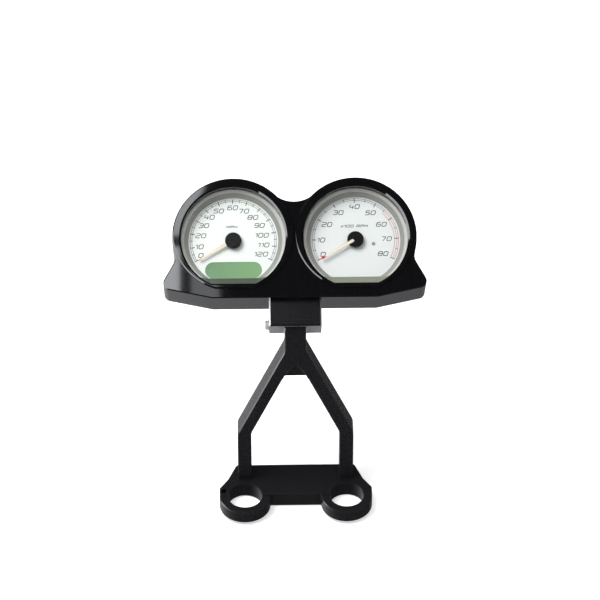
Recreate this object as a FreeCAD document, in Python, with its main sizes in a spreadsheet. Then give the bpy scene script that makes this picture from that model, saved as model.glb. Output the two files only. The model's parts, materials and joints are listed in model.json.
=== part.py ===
"""Twin-dial motorcycle instrument cluster on an A-frame riser mount.

The cluster clamps to two vertical handlebar risers. +Z runs up along the risers, +X to the
rider's right, and the rider sits at -Y. The origin lies midway between the two riser axes,
on the underside of the clamp base. Millimetres throughout.

The gauge pod is drawn in a frame of its own: x to the right, y up the face, z out of the face
towards the rider, zero on the face between the two dials. POD carries that frame into the model.
"""
import FreeCAD, Part
import math
import os
from FreeCAD import Placement, Rotation, Vector

doc = FreeCAD.newDocument("instrument_cluster")

SIZES = {
    # clamp base
    "riser_spacing": 88.9, "riser_radius": 15, "base_height": 14, "cap_height": 12,
    "ear_reach": 22.3, "clamp_gap": 0.5, "base_front": 2, "base_rear": 40, "rear_half": 52,
    "ear_depth": 10.3, "shoulder_half": 59.3, "shoulder_depth": 21.6,
    "notch_front": 1.2, "notch_rear": 9, "notch_side": 60.6, "notch_depth": 3,
    "clamp_screw_offset": 18.8, "clamp_screw_seat": 7, "clamp_screw_depth": 8,
    "clamp_head_seat": 3.7, "foot_head_seat": 5.3, "edge_break": 0.8, "small_thread": 2,
    # mast
    "mast_front": 20.4, "mast_thickness": 18.8, "stem_half": 9.2, "leg_width": 12,
    "stem_foot": 161.5, "crotch_height": 135.2, "crotch_half": 9, "leg_lean": 0.44,
    "web_recess": 5, "web_drop": 4.4, "web_peak": 12, "knee_radius": 12, "outer_knee_radius": 14,
    "foot_screw_radius": 3, "foot_screw_seat": 7, "foot_screw_depth": 16,
    # tilt pivot
    "pivot_depth": 29.8, "pivot_height": 184, "face_elevation": 54,
    "bolt_radius": 3, "bush_radius": 5, "eye_washer": 0.4, "eye_washer_radius": 7.4,
    "bolt_washer": 0.8, "bolt_washer_radius": 4.4, "bush_clearance": 0.05,
    # clevis block, in the pod's frame
    "block_half": 22.3, "block_top": -52.6, "block_bottom": -75.5, "block_front": -9.5,
    "block_depth": 27, "slot_half": 9.7, "slot_plate": 3, "slot_roof": -60,
    "pivot_below": 70.5, "pivot_behind": 27.5, "groove_pitch": 2.6, "groove_width": 0.5,
    "groove_depth": 0.4, "block_bevel": 1.3, "block_thread_depth": 7,
    # pod shell
    "dial_offset": 52, "ring_radius": 51.9, "ring_flat": 44.3, "ring_rise": 5.2,
    "opening_radius": 44.5, "opening_bevel": 1.4,
    "opening_flat": 40.4, "valley_radius": 25, "half_width": 111.6, "corner_height": 39,
    "corner_radius": 6, "flare_fillet": 12, "flare_angle": 29.4, "floor_half": 70,
    "floor_height": 52.6, "pod_depth": 42.5, "panel_set_back": 2, "edge_chamfer": 0.9,
    "front_wall": 6, "side_wall": 4.3, "cover_lip": 1.8, "cover_recess": 3,
    "cover_fit": 0.1, "cover_seal": 0.5, "cover_thread": 1.5, "cover_head_seat": 2.9,
    "cover_head_depth": 1.4, "cable_hole": 6.5, "cable_bore": 3.2, "grommet_flange": 8.5,
    "vent_half": 16, "vent_pitch": 9, "vent_groove": 1.5, "vent_depth": 0.8,
    "boss_radius": 5, "small_boss": 4, "strap_height": 34, "strap_half": 5.4, "strap_thickness": 1.5,
    # gauges, heights measured back from the face
    "lens_radius": 46.2, "seal_thickness": 0.6, "lens_thickness": 2, "can_radius": 45.9,
    "can_inner": 44.7, "can_floor": 1.5, "dial_radius": 44.6, "dial_height": 14.5,
    "dial_thickness": 0.8,
    "guide_thickness": 4.2, "board_thickness": 1.6, "board_radius": 43.5,
    "reflector_front": 44.1, "reflector_rear": 38.8, "reflector_flat_front": 40,
    "reflector_flat_rear": 32.8, "reflector_step": 1.3, "reflector_ledge": 0.5,
    "motor_height": 8, "motor_width": 30, "motor_length": 26,
    "header_half": 8.7, "header_low": 18.3, "header_high": 25.7, "header_wall": 1.3,
    "shaft_radius": 1, "shaft_bore": 2.2, "hub_radius": 7, "hub_top": 9.7, "hub_height": 3.4,
    "pointer_length": 33.5, "pointer_root": 1.5, "pointer_tip": 0.8, "pointer_thickness": 0.9,
    "shaft_into_motor": 4.5,
    "lcd_width": 48.4, "lcd_height": 14.4, "lcd_drop": 25.2, "lcd_margin": 1.6,
    "tell_tale_radius": 1.6, "tell_tale_flange": 2.4, "tell_tale_x": 67.4, "tell_tale_y": -3.2,
    "tell_tale_rise": 0.25,
}

sheet = doc.addObject("Spreadsheet::Sheet", "sizes")
for row, (alias, value) in enumerate(SIZES.items(), start=1):
    sheet.set(f"A{row}", alias)
    sheet.set(f"B{row}", str(value))
    sheet.setAlias(f"B{row}", alias)
doc.recompute()


def size(alias):
    return float(getattr(sheet, alias))


FACE_TURN = 90 - size("face_elevation")
FACE_ROTATION = Rotation(Vector(1, 0, 0), FACE_TURN)
PIVOT = Vector(0, size("pivot_depth"), size("pivot_height"))
PIVOT_IN_POD = Vector(0, -size("pivot_below"), -size("pivot_behind"))
POD = Placement(PIVOT - FACE_ROTATION.multVec(PIVOT_IN_POD), FACE_ROTATION)
HOME = Placement()
RISER = size("riser_spacing") / 2
SIDES = {"speedo": -1, "tacho": 1}
ALONG_X = Rotation(Vector(0, 1, 0), 90)
ALONG_Y = Rotation(Vector(1, 0, 0), -90)
HEAD_DOWN = Rotation(Vector(1, 0, 0), 180)
CLAMP_LEVEL = size("base_height") - size("cap_height") / 2

# head radius, head height, shank radius and key circumradius of each screw
M6_CAP = (5, 6, 3, 2.9)
M6_LOW = (3.9, 2.5, 3, 2)
M4_CAP = (3.5, 4, 2, 1.7)
M4_LOW = (3.5, 3, 2, 1.7)
M3_LOW = (2.8, 1.4, 1.5, 1.1)

parts = {}


# ---------------------------------------------------------------- outlines
def flat(point):
    return Vector(point[0], point[1], 0)


def arc(centre, start, end):
    """The shorter arc about centre from start to end."""
    half = (start - centre) + (end - centre)
    half.normalize()
    return Part.Arc(start, centre + half * (start - centre).Length, end)


def rounded(points, radii):
    """A closed outline of straight runs with each corner rounded by its radius (0 is sharp)."""
    count = len(points)
    corners = []
    for i, here in enumerate(points):
        here = flat(here)
        back = flat(points[i - 1]) - here
        ahead = flat(points[(i + 1) % count]) - here
        back.normalize()
        ahead.normalize()
        half_angle = back.getAngle(ahead) / 2
        reach = radii[i] / math.tan(half_angle)
        bisector = back + ahead
        if radii[i]:
            bisector.normalize()
        centre = here + bisector * (radii[i] / math.sin(half_angle))
        corners.append((here + back * reach, centre, here + ahead * reach))
    edges = []
    for i, (enter, centre, leave) in enumerate(corners):
        if radii[i]:
            edges.append(arc(centre, enter, leave))
        edges.append(Part.LineSegment(leave, corners[(i + 1) % count][0]))
    return edges


def circle(x, y, radius):
    return [Part.Circle(Vector(x, y, 0), Vector(0, 0, 1), radius)]


def circles(spots, radius):
    return [edge for x, y in spots for edge in circle(x, y, radius)]


def rectangle(x0, y0, x1, y1, radius=0):
    return rounded([(x0, y0), (x1, y0), (x1, y1), (x0, y1)], [radius] * 4)


def stadium(start, end, radius):
    """Two half circles joined by straight sides."""
    start, end = flat(start), flat(end)
    run = end - start
    run.normalize()
    side = Vector(-run.y, run.x, 0) * radius
    return [
        Part.LineSegment(start - side, end - side),
        Part.Arc(end - side, end + run * radius, end + side),
        Part.LineSegment(end + side, start + side),
        Part.Arc(start + side, start - run * radius, start - side),
    ]


def cut_circle(x, radius, drop):
    """A circle about (x, 0) whose bottom is cut straight across, drop below its centre."""
    half = math.sqrt(radius**2 - drop**2)
    left, right = Vector(x - half, -drop, 0), Vector(x + half, -drop, 0)
    return [Part.Arc(right, Vector(x, radius, 0), left), Part.LineSegment(left, right)]


def ring_outline(x):
    """The raised ring round a dial: its lower half follows a circle set higher than the dial,
    so that the ring thins out towards its flat foot."""
    radius, drop, rise = size("ring_radius"), size("ring_flat"), size("ring_rise")
    widest = math.sqrt(radius**2 - (rise / 2) ** 2)
    foot = math.sqrt(radius**2 - (drop + rise) ** 2)
    left, right = Vector(x - widest, rise / 2, 0), Vector(x + widest, rise / 2, 0)
    foot_left, foot_right = Vector(x - foot, -drop, 0), Vector(x + foot, -drop, 0)
    lower_centre = Vector(x, rise, 0)
    return [
        Part.Arc(right, Vector(x, radius, 0), left),
        arc(lower_centre, left, foot_left),
        Part.LineSegment(foot_left, foot_right),
        arc(lower_centre, foot_right, right),
    ]


def mirrored(edges):
    """The same edges on the other side of the y axis."""
    flip = FreeCAD.Matrix()
    flip.scale(-1, 1, 1)
    copies = []
    for edge in edges:
        start, end = flip.multVec(edge.StartPoint), flip.multVec(edge.EndPoint)
        if isinstance(edge, Part.LineSegment):
            copies.append(Part.LineSegment(start, end))
        else:
            middle = edge.value((edge.FirstParameter + edge.LastParameter) / 2)
            copies.append(Part.Arc(start, flip.multVec(middle), end))
    return copies


def pod_outline(inset):
    """The pod's outline, moved inwards by inset: every arc keeps its centre."""
    ring = Vector(size("dial_offset"), 0, 0)
    ring_radius, valley_radius = size("ring_radius"), size("valley_radius")
    valley = Vector(0, math.sqrt((ring_radius + valley_radius) ** 2 - ring.x**2), 0)
    corner_radius = size("corner_radius")
    corner = Vector(size("half_width") - corner_radius, -size("corner_height"), 0)

    # the flare leans outwards going down; the slant runs from the corner to the floor
    lean = math.radians(size("flare_angle"))
    flare_normal = Vector(math.cos(lean), math.sin(lean), 0)
    flare_run = Vector(-math.sin(lean), math.cos(lean), 0)
    floor_end = Vector(size("floor_half"), -size("floor_height"), 0)
    gap = floor_end - corner
    turn = math.acos(corner_radius / gap.Length)
    slant_angle = math.atan2(gap.y, gap.x) + turn
    slant_normal = Vector(math.cos(slant_angle), math.sin(slant_angle), 0)

    # the fillet between ring and flare touches both from outside
    fillet_radius = size("flare_fillet")
    start = corner + flare_normal * (corner_radius + fillet_radius) - ring
    along = start.dot(flare_run)
    reach = (ring_radius + fillet_radius) ** 2 - start.Length**2
    fillet = ring + start - flare_run * (along + math.sqrt(along**2 + reach))

    towards_ring = (valley - ring).normalize()
    valley_touch = ring + towards_ring * (ring_radius - inset)
    valley_floor = valley - Vector(0, valley_radius + inset, 0)
    fillet_touch = ring + (fillet - ring).normalize() * (ring_radius - inset)
    flare_top = fillet - flare_normal * (fillet_radius + inset)
    flare_foot = corner + flare_normal * (corner_radius - inset)
    slant_start = corner + slant_normal * (corner_radius - inset)
    floor_y = floor_end.y + inset
    level = slant_normal.dot(floor_end) - inset
    floor_touch = Vector((level - slant_normal.y * floor_y) / slant_normal.x, floor_y, 0)
    half = [
        arc(valley, valley_floor, valley_touch),
        arc(ring, valley_touch, fillet_touch),
        arc(fillet, fillet_touch, flare_top),
        Part.LineSegment(flare_top, flare_foot),
        arc(corner, flare_foot, slant_start),
        Part.LineSegment(slant_start, floor_touch),
    ]
    across = Part.LineSegment(floor_touch, Vector(-floor_touch.x, floor_touch.y, 0))
    return half + mirrored(half) + [across]


# ---------------------------------------------------------------- PartDesign helpers
def new_body(label, placement=HOME):
    body = doc.addObject("PartDesign::Body", label)
    body.Label = label
    body.Placement = placement
    parts[label] = body
    return body


def sketch(body, name, offset, edges, plane="XY_Plane"):
    """A sketch on one of the body's own planes, moved along its normal by an expression."""
    drawing = body.newObject("Sketcher::SketchObject", f"{body.Label}_{name}")
    support = next(item for item in body.Origin.OriginFeatures if item.Role == plane)
    drawing.AttachmentSupport = [(support, "")]
    drawing.MapMode = "FlatFace"
    drawing.setExpression("AttachmentOffset.Base.z", offset)
    drawing.addGeometry(edges, False)
    return drawing


def extrude(kind, body, name, offset, edges, length, backwards=False, plane="XY_Plane"):
    drawing = sketch(body, f"{name}_sketch", offset, edges, plane)
    feature = body.newObject(f"PartDesign::{kind}", f"{body.Label}_{name}")
    feature.Profile = drawing
    feature.setExpression("Length", length)
    feature.Reversed = backwards
    doc.recompute()
    return feature


def pad(body, name, offset, edges, length, backwards=True, plane="XY_Plane"):
    """Adds material; backwards is against the plane's normal."""
    return extrude("Pad", body, name, offset, edges, length, backwards, plane)


def pocket(body, name, offset, edges, length, forwards=False, plane="XY_Plane"):
    """Removes material against the plane's normal, and must remove some."""
    before = body.Tip.Shape.Volume
    feature = extrude("Pocket", body, name, offset, edges, length, forwards, plane)
    if feature.Shape.Volume > before - 0.01:
        raise RuntimeError(f"{body.Label} {name} cuts nothing")
    return feature


def bevel(body, name, distance, wanted, kind="Chamfer"):
    """Chamfers or fillets the edges of the body's last feature that the test accepts."""
    base = body.Tip
    edges = [f"Edge{i}" for i, edge in enumerate(base.Shape.Edges, start=1) if wanted(edge)]
    if not edges:
        raise RuntimeError(f"{body.Label} {name} finds no edges")
    feature = body.newObject(f"PartDesign::{kind}", f"{body.Label}_{name}")
    feature.Base = (base, edges)
    feature.setExpression("Size" if kind == "Chamfer" else "Radius", distance)
    doc.recompute()
    return feature


def lies_at(edge, axis, level):
    """Whether a whole edge lies in the plane where one coordinate has the given value."""
    ends = [edge.valueAt(edge.FirstParameter), edge.valueAt(edge.LastParameter)]
    middle = edge.valueAt((edge.FirstParameter + edge.LastParameter) / 2)
    return all(abs(getattr(point, axis) - level) < 1e-4 for point in ends + [middle])


# ---------------------------------------------------------------- Part helpers
def solid(kind, name, place, **sizes):
    """A Part primitive whose sizes are expressions."""
    item = doc.addObject(f"Part::{kind}", name)
    for key, expression in sizes.items():
        item.setExpression(key, str(expression))
    item.Placement = place
    return item


def screw(name, place, kind, shank_length):
    """A socket-head screw: the head's underside at place, head along +z, shank along -z."""
    head_radius, head_height, shank_radius, key = kind
    turned = place.multiply(Placement(Vector(), HEAD_DOWN))
    recess = place.multiply(Placement(Vector(0, 0, head_height * 0.4), Rotation()))
    head = solid("Cylinder", f"{name}_head", place, Radius=head_radius, Height=head_height)
    shank = solid("Cylinder", f"{name}_shank", turned, Radius=shank_radius, Height=shank_length)
    whole = doc.addObject("Part::Fuse", f"{name}_whole")
    whole.Base, whole.Tool = head, shank
    hexagon = solid("Prism", f"{name}_key", recess, Circumradius=key, Height=head_height)
    cut = doc.addObject("Part::Cut", name)
    cut.Base, cut.Tool = whole, hexagon
    return cut


def group(label, items):
    """Identical pieces kept together as one sub-part of separate solids."""
    together = doc.addObject("Part::Compound", label)
    together.Label = label
    together.Links = items
    parts[label] = together


def tube(name, place, outer, inner, length):
    """A plain ring or sleeve."""
    rim = solid("Cylinder", f"{name}_rim", place, Radius=outer, Height=length)
    hole = solid("Cylinder", f"{name}_hole", place, Radius=inner, Height=length)
    ring = doc.addObject("Part::Cut", name)
    ring.Base, ring.Tool = rim, hole
    return ring


def in_pod(x, y, z, turn=Rotation()):
    return POD.multiply(Placement(Vector(x, y, z), turn))


# ---------------------------------------------------------------- clamp base
def base_outline():
    """Plan of the plate behind the risers, without its bores."""
    ear = RISER + size("ear_reach")
    front, gap, rear = size("base_front"), size("clamp_gap"), size("base_rear")
    inner = RISER - size("ear_reach")
    shoulder = (size("shoulder_half"), size("shoulder_depth"))
    right = [(inner, front), (inner, gap), (ear, gap), (ear, size("ear_depth")), shoulder,
             (size("rear_half"), rear)]
    left = [(-x, y) for x, y in reversed(right)]
    radii = [0.5, 0.5, 1, 2, 3, 3]
    return rounded(right + left, radii + radii[::-1])


def clamp_screw_spots():
    offset = size("clamp_screw_offset")
    return [side * RISER + hand * offset for side in (-1, 1) for hand in (-1, 1)]


def foot_spots():
    return [(side * RISER, size("pivot_depth")) for side in (-1, 1)]


def make_base():
    base = new_body("clamp_base")
    pad(base, "plate", "0", base_outline(), "sizes.base_height", backwards=False)
    bores = [edge for side in (-1, 1) for edge in circle(side * RISER, 0, size("riser_radius"))]
    pocket(base, "bores", "sizes.base_height", bores, "sizes.base_height")
    ear = RISER + size("ear_reach")
    notch = rectangle(-ear - 1, size("notch_front"), -size("notch_side"), size("notch_rear"))
    pocket(base, "ear_notch", "sizes.base_height", notch, "sizes.notch_depth")
    spots = [(x, CLAMP_LEVEL) for x in clamp_screw_spots()]
    holes = circles(spots, size("small_thread"))
    seats = circles(spots, size("clamp_head_seat"))
    pocket(base, "screw_holes", "-sizes.base_rear", holes, "sizes.base_rear", forwards=True,
           plane="XZ_Plane")
    pocket(base, "screw_seats", "-sizes.base_rear", seats,
           "sizes.base_rear - sizes.clamp_screw_seat", forwards=True, plane="XZ_Plane")
    feet = circles(foot_spots(), size("foot_screw_radius"))
    heads = circles(foot_spots(), size("foot_head_seat"))
    pocket(base, "foot_holes", "sizes.base_height", feet, "sizes.base_height")
    pocket(base, "foot_seats", "0", heads, "sizes.foot_screw_seat", forwards=True)
    bevel(base, "top_edge", "sizes.edge_break", lambda edge: lies_at(edge, "z", size("base_height"))
          and edge.Length > 4 and abs(edge.valueAt(edge.FirstParameter).y) > size("notch_rear") + 1
          and not edge.isClosed())


def make_cap(label, side):
    """Half ring in front of one riser, with a threaded ear on each side."""
    reach, bore, gap = size("ear_reach"), size("riser_radius"), size("clamp_gap")
    low = size("base_height") - size("cap_height")
    outer_half = math.sqrt(reach**2 - gap**2)
    bore_half = math.sqrt(bore**2 - gap**2)
    x = side * RISER
    rim = Part.Arc(Vector(x - outer_half, -gap, 0), Vector(x, -reach, 0),
                   Vector(x + outer_half, -gap, 0))
    hollow = Part.Arc(Vector(x + bore_half, -gap, 0), Vector(x, -bore, 0),
                      Vector(x - bore_half, -gap, 0))
    edges = [rim, Part.LineSegment(rim.EndPoint, hollow.StartPoint), hollow,
             Part.LineSegment(hollow.EndPoint, rim.StartPoint)]
    cap = new_body(label)
    pad(cap, "ring", f"{low}", edges, "sizes.cap_height", backwards=False)
    spots = [(x + hand * size("clamp_screw_offset"), CLAMP_LEVEL) for hand in (-1, 1)]
    pocket(cap, "threads", "0", circles(spots, size("small_thread")), "sizes.clamp_screw_depth",
           forwards=True, plane="XZ_Plane")
    bevel(cap, "rim_edge", "sizes.edge_break", lambda edge: edge.Length > 50 and
          (lies_at(edge, "z", size("base_height")) or lies_at(edge, "z", low)))


def make_base_screws():
    seat = size("clamp_screw_seat")
    length = seat + size("clamp_screw_depth") - 1
    group("clamp_screws", [
        screw(f"clamp_screw_{i}", Placement(Vector(x, seat, CLAMP_LEVEL), ALONG_Y), M4_CAP, length)
        for i, x in enumerate(clamp_screw_spots())])
    level = size("foot_screw_seat")
    length = size("base_height") - level + size("foot_screw_depth") - 1
    group("mast_foot_screws", [
        screw(f"foot_screw_{i}", Placement(Vector(x, y, level), HEAD_DOWN), M6_CAP, length)
        for i, (x, y) in enumerate(foot_spots())])


# ---------------------------------------------------------------- mast
def make_mast():
    """A stem that forks into two leaning legs, each ending in an upright foot."""
    lean, stem, width = size("leg_lean"), size("stem_half"), size("leg_width")
    top = size("pivot_height") + size("mast_thickness") / 2
    foot = size("base_height")
    outside, inside = RISER + width / 2, RISER - width / 2
    crotch, fork = size("crotch_height"), size("stem_foot")
    crotch_half = size("crotch_half")
    web_foot = crotch - size("web_drop")
    outer_knee = fork - (outside - stem) / lean
    inner_knee = crotch - (inside - crotch_half) / lean
    web_corner = crotch_half + size("web_drop") * lean
    right = [(stem, top), (stem, fork), (outside, outer_knee), (outside, foot),
             (inside, foot), (inside, inner_knee), (web_corner, web_foot)]
    left = [(-x, z) for x, z in reversed(right)]
    radii = [0, size("knee_radius"), size("outer_knee_radius"), 0, 0, size("knee_radius"), 1.5]
    mast = new_body("mast")
    pad(mast, "frame", "-sizes.mast_front", rounded(right + left, radii + radii[::-1]),
        "sizes.mast_thickness", backwards=True, plane="XZ_Plane")
    below = web_foot - 2
    recess = rounded([(0, crotch + size("web_peak")), (crotch_half, crotch), (web_corner, web_foot),
                      (web_corner, below), (-web_corner, below), (-web_corner, web_foot),
                      (-crotch_half, crotch)], [1, 0, 0, 0, 0, 0, 0])
    pocket(mast, "crotch", "-sizes.mast_front", recess, "sizes.web_recess",
           forwards=False, plane="XZ_Plane")
    bush = circle(size("pivot_depth"), size("pivot_height"), size("bush_radius"))
    pocket(mast, "eye", "sizes.stem_half", bush, "2 * sizes.stem_half", plane="YZ_Plane")
    threads = circles(foot_spots(), size("foot_screw_radius"))
    pocket(mast, "foot_threads", "sizes.base_height", threads, "sizes.foot_screw_depth", forwards=True)
    bevel(mast, "eye_round", "sizes.mast_thickness / 2 - 0.05", lambda edge: lies_at(edge, "z", top)
          and edge.BoundBox.XLength > stem, kind="Fillet")
    front = size("mast_front")
    bevel(mast, "front_edge", "sizes.edge_break", lambda edge: lies_at(edge, "y", front)
          and edge.Length > 6 and edge.BoundBox.ZMax < size("pivot_height") + 0.1
          and edge.BoundBox.ZMin > foot + 1e-3 and not edge.isClosed())


def make_pivot():
    """Bolt, washers and bush on the tilt axis; the bolt's head is on the left."""
    def across(x):
        return Placement(PIVOT + Vector(x, 0, 0), ALONG_X)

    stem, thin = size("stem_half"), size("eye_washer")
    parts["tilt_bush"] = tube("tilt_bush", across(-stem), "sizes.bush_radius",
                              "sizes.bolt_radius + sizes.bush_clearance", "2 * sizes.stem_half")
    group("tilt_washers", [
        tube(f"tilt_washer_{i}", across(x), "sizes.eye_washer_radius", "sizes.bolt_radius + 0.4",
             "sizes.eye_washer")
        for i, x in enumerate((-stem - thin, stem))])
    seat = size("block_half") + size("bolt_washer")
    head = Placement(PIVOT - Vector(seat, 0, 0), Rotation(Vector(0, 1, 0), -90))
    parts["tilt_bolt"] = screw("tilt_bolt", head, M6_LOW, 2 * size("block_half") - 2)
    parts["bolt_washer"] = tube("bolt_washer", across(-seat), "sizes.bolt_washer_radius",
                                "sizes.bolt_radius", "sizes.bolt_washer")


def make_block():
    """The clevis under the pod: two cheeks and a front plate round a slot for the stem."""
    half, slot = size("block_half"), size("slot_half")
    top, bottom = size("block_top"), size("block_bottom")
    block = new_body("pivot_block", POD)
    pad(block, "billet", "sizes.block_front", rectangle(-half, bottom, half, top),
        "sizes.block_depth")
    bevel(block, "edges", "sizes.block_bevel", lambda edge: lies_at(edge, "z", size("block_front"))
          and edge.BoundBox.YMin < top - 1)
    # two shallow grooves run across the front above the lower edge
    for i in (1, 2):
        y = bottom + i * size("groove_pitch")
        groove = rectangle(-half - 1, y, half + 1, y + size("groove_width"))
        pocket(block, f"groove_{i}", "sizes.block_front", groove, "sizes.groove_depth")
    pocket(block, "slot", "sizes.block_front - sizes.slot_plate",
           rectangle(-slot, bottom - 1, slot, size("slot_roof")), "sizes.block_depth")
    axis = (-size("pivot_below"), -size("pivot_behind"))
    pocket(block, "clearance", "-sizes.slot_half", circle(*axis, size("bolt_radius") + 0.2),
           "sizes.block_half", plane="YZ_Plane")
    pocket(block, "thread", "sizes.slot_half - 1", circle(*axis, size("bolt_radius")),
           "sizes.block_half - sizes.slot_half - 0.2", forwards=True, plane="YZ_Plane")
    pocket(block, "screw_threads", "-sizes.block_top", circles(BLOCK_SPOTS, size("small_thread")),
           "sizes.block_thread_depth", forwards=True, plane="XZ_Plane")


# ---------------------------------------------------------------- pod shell and cover
BLOCK_SPOTS = [(x, z) for x in (-14, 14) for z in (-17, -30)]
STRAP_SPOTS = {"speedo": [(0, 14), (-94, -33)], "tacho": [(0, -14), (94, -33)]}
COVER_SPOTS = [(0, 24.3), (-24, -43.6), (24, -43.6), (-103.3, -37.2), (103.3, -37.2)]
GROMMET = (0, -32)


def make_shell():
    """A billet shell, open at the back, with a raised ring round each dial opening."""
    rings = [edge for side in (-1, 1) for edge in ring_outline(side * size("dial_offset"))]
    openings = [edge for side in (-1, 1) for edge in
                cut_circle(side * size("dial_offset"), size("opening_radius"), size("opening_flat"))]
    strap_spots = [spot for spots in STRAP_SPOTS.values() for spot in spots]
    shell = new_body("pod_shell", POD)
    bevelled = size("panel_set_back") + size("edge_chamfer")
    pad(shell, "billet", f"-{bevelled}", pod_outline(0), f"sizes.pod_depth - {bevelled}")
    panel = pad(shell, "panel", f"-{bevelled}", pod_outline(0), "sizes.edge_chamfer", backwards=False)
    panel.TaperAngle = -45
    pad(shell, "rings", f"-{bevelled}", rings, f"{bevelled} - sizes.edge_chamfer", backwards=False)
    crown = pad(shell, "ring_crowns", "-sizes.edge_chamfer", rings, "sizes.edge_chamfer",
                backwards=False)
    crown.TaperAngle = -45
    doc.recompute()
    pocket(shell, "cavity", "-sizes.front_wall", pod_outline(size("side_wall")), "sizes.pod_depth")
    pocket(shell, "cover_seat", "sizes.cover_recess - sizes.pod_depth",
           pod_outline(size("cover_lip")), "sizes.cover_recess")
    pad(shell, "strap_bosses", "-sizes.front_wall", circles(strap_spots, size("boss_radius")),
        "sizes.strap_height - sizes.front_wall")
    pad(shell, "cover_bosses", "-sizes.front_wall", circles(COVER_SPOTS, size("small_boss")),
        "sizes.pod_depth - sizes.cover_recess - sizes.front_wall")
    pocket(shell, "openings", "0", openings, "sizes.front_wall + 1")
    pocket(shell, "strap_threads", "-sizes.strap_height", circles(strap_spots, size("small_thread")),
           "12", forwards=True)
    pocket(shell, "cover_threads", "sizes.cover_recess - sizes.pod_depth",
           circles(COVER_SPOTS, size("cover_thread")), "10", forwards=True)
    pocket(shell, "floor_holes", "sizes.floor_height", circles(BLOCK_SPOTS, size("small_thread")),
           "sizes.side_wall + 1", plane="XZ_Plane")
    bevel(shell, "opening_edges", "sizes.opening_bevel", lambda edge: lies_at(edge, "z", 0)
          and abs(abs(edge.CenterOfMass.x) - size("dial_offset")) < 1
          and edge.BoundBox.YMin > -size("opening_flat") - 0.1
          and edge.BoundBox.XLength < 2 * size("opening_radius") + 0.5)


def make_cover():
    seal_depth = "sizes.cover_recess - sizes.pod_depth"
    fit = size("cover_lip") + size("cover_fit")
    seal = new_body("back_cover_seal", POD)
    pad(seal, "band", seal_depth, pod_outline(fit) + pod_outline(size("side_wall") - 0.2),
        "sizes.cover_seal")
    cover = new_body("back_cover", POD)
    pad(cover, "plate", f"{seal_depth} - sizes.cover_seal", pod_outline(fit),
        "sizes.cover_recess - sizes.cover_seal")
    pocket(cover, "screw_holes", seal_depth, circles(COVER_SPOTS, size("cover_thread")),
           "sizes.cover_recess")
    pocket(cover, "screw_seats", "-sizes.pod_depth", circles(COVER_SPOTS, size("cover_head_seat")),
           "sizes.cover_head_depth", forwards=True)
    pocket(cover, "cable_hole", seal_depth, circles([GROMMET], size("cable_hole")),
           "sizes.cover_recess")
    vents = []
    for side in (-1, 1):
        x, half = side * size("dial_offset"), size("vent_half")
        for row in (-1, 0, 1):
            y = row * size("vent_pitch")
            vents += stadium((x - half, y), (x + half, y), size("vent_groove"))
    pocket(cover, "vent_grooves", "-sizes.pod_depth", vents, "sizes.vent_depth", forwards=True)

    # the grommet's flanges, 1.5 and 2 thick, close on the cover from both sides
    grommet = new_body("cable_grommet", POD)
    inner_face = "sizes.cover_recess - sizes.cover_seal + 1.5 - sizes.pod_depth"
    flange = circles([GROMMET], size("grommet_flange"))
    pad(grommet, "sleeve", inner_face, circles([GROMMET], size("cable_hole")), "6")
    pad(grommet, "inner_flange", inner_face, flange, "1.5")
    pad(grommet, "outer_flange", "-sizes.pod_depth", flange, "2")
    pocket(grommet, "bore", "0", circles([GROMMET], size("cable_bore")), "60")
    bevel(grommet, "soft_edge", "0.8", lambda edge: lies_at(edge, "z", -size("pod_depth") - 2)
          and edge.Length > 40, kind="Fillet")
    seat = size("cover_head_depth") - size("pod_depth")
    group("back_cover_screws", [
        screw(f"cover_screw_{i}", in_pod(x, y, seat, HEAD_DOWN), M3_LOW, 9)
        for i, (x, y) in enumerate(COVER_SPOTS)])
    floor = size("side_wall") - size("floor_height")
    length = size("side_wall") + size("block_thread_depth") - 0.8
    group("pivot_block_screws", [
        screw(f"block_screw_{i}", in_pod(x, floor, z, ALONG_Y), M4_LOW, length)
        for i, (x, z) in enumerate(BLOCK_SPOTS)])


# ---------------------------------------------------------------- gauges
LENS_FRONT = "sizes.front_wall + sizes.seal_thickness"
LENS_REAR = f"{LENS_FRONT} + sizes.lens_thickness"
DIAL_REAR = "sizes.dial_height + sizes.dial_thickness"
GUIDE_REAR = f"{DIAL_REAR} + sizes.guide_thickness"
BOARD_REAR = f"{GUIDE_REAR} + sizes.board_thickness"


def lcd_window(margin):
    half, tall = size("lcd_width") / 2 + margin, size("lcd_height") / 2 + margin
    x, y = -size("dial_offset"), -size("lcd_drop")
    return stadium((x - half + tall, y), (x + half - tall, y), tall)


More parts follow.
